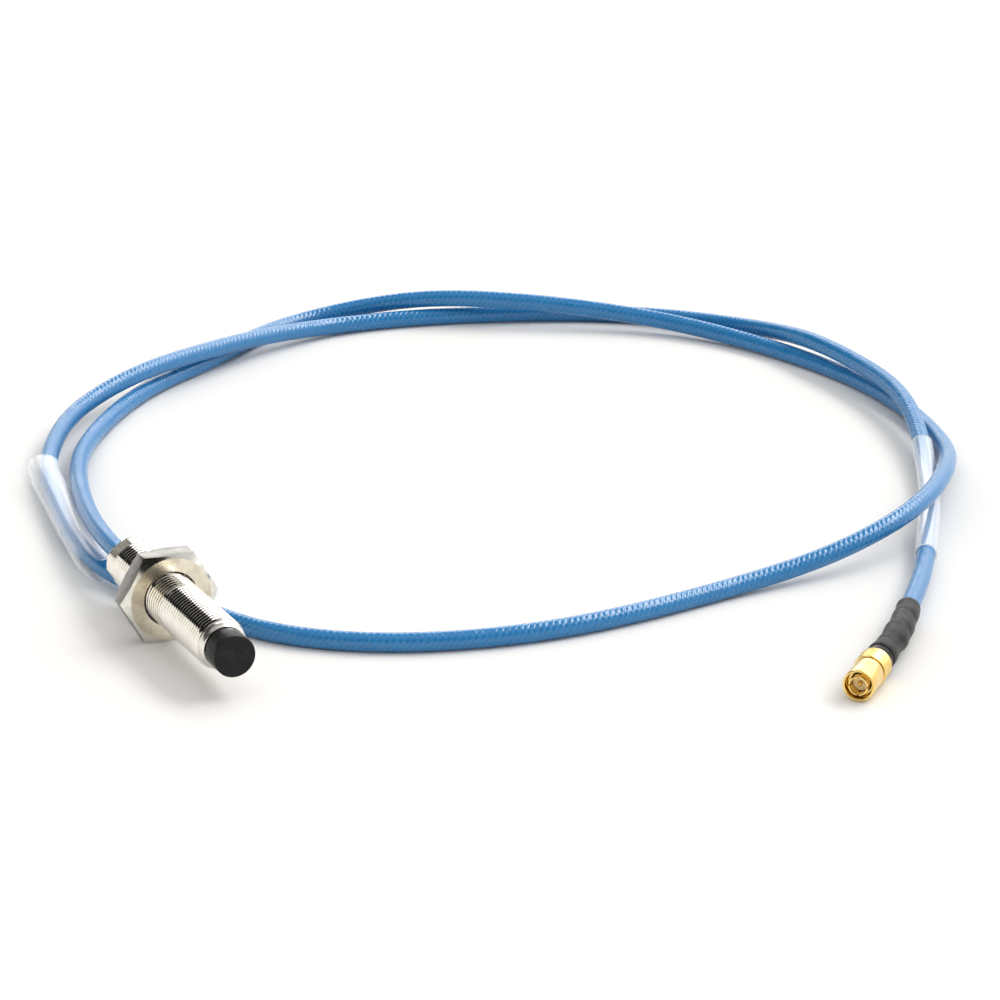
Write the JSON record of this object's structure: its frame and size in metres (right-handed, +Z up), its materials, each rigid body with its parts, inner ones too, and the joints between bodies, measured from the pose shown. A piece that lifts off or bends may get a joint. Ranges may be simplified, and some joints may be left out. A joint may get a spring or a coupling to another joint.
{
  "type": "eddy current probe",
  "caption": "Eddy current proximity probe: a threaded metal case with a black sensing tip and a lock nut, and a blue coaxial lead that ends in a small gold plug.",
  "frame": {"origin": "on the surface that the part lies on, under the middle of the probe's length from case end to tip", "axes": "+X along the probe's axis towards its sensing tip, +Z up, and the lead's loop on the +Y side"},
  "size_m": [0.2496, 0.2006, 0.017],
  "materials": {
    "nickel_plate": "satin nickel plate",
    "black_moulding": "matte moulded",
    "black_rubber": "matte",
    "blue_jacket": "translucent jacket over braid",
    "clear_sleeve": "clear",
    "gold_plate": "bright gold plate",
    "brass": "plain",
    "copper": "enamelled wire",
    "tinned_braid": "braided",
    "white_ptfe": "plain",
    "former_plastic": "plain",
    "epoxy": "cast"
  },
  "bodies": {
    "probe": {"threaded_case": "nickel_plate", "tip_cap": "black_moulding", "coil_former": "former_plastic", "sensing_coil": "copper", "coil_wire_start": "copper", "coil_wire_finish": "copper", "potting_fill": "epoxy", "lead_core": "white_ptfe", "centre_conductor": "copper", "shield_braid": "tinned_braid", "cable_anchor": "nickel_plate", "rear_seal": "black_rubber", "lead": "blue_jacket", "sleeve_probe_end": "clear_sleeve", "sleeve_plug_end": "clear_sleeve", "plug_boot": "black_rubber", "crimp_ferrule": "brass", "plug_braid": "tinned_braid", "plug_core": "white_ptfe", "knurled_collar": "gold_plate", "outer_barrel": "gold_plate", "plug_body": "gold_plate", "collet": "gold_plate", "insulator": "white_ptfe", "centre_pin": "gold_plate"},
    "nut": {"lock_nut": "nickel_plate"}
  },
  "joints": [
    {"name": "nut_turn", "type": "hinge", "parent": "probe", "child": "nut", "pos_m": [-0.0075, 0, 0.0085], "axis": [1, 0, 0], "continuous": true}
  ]
}
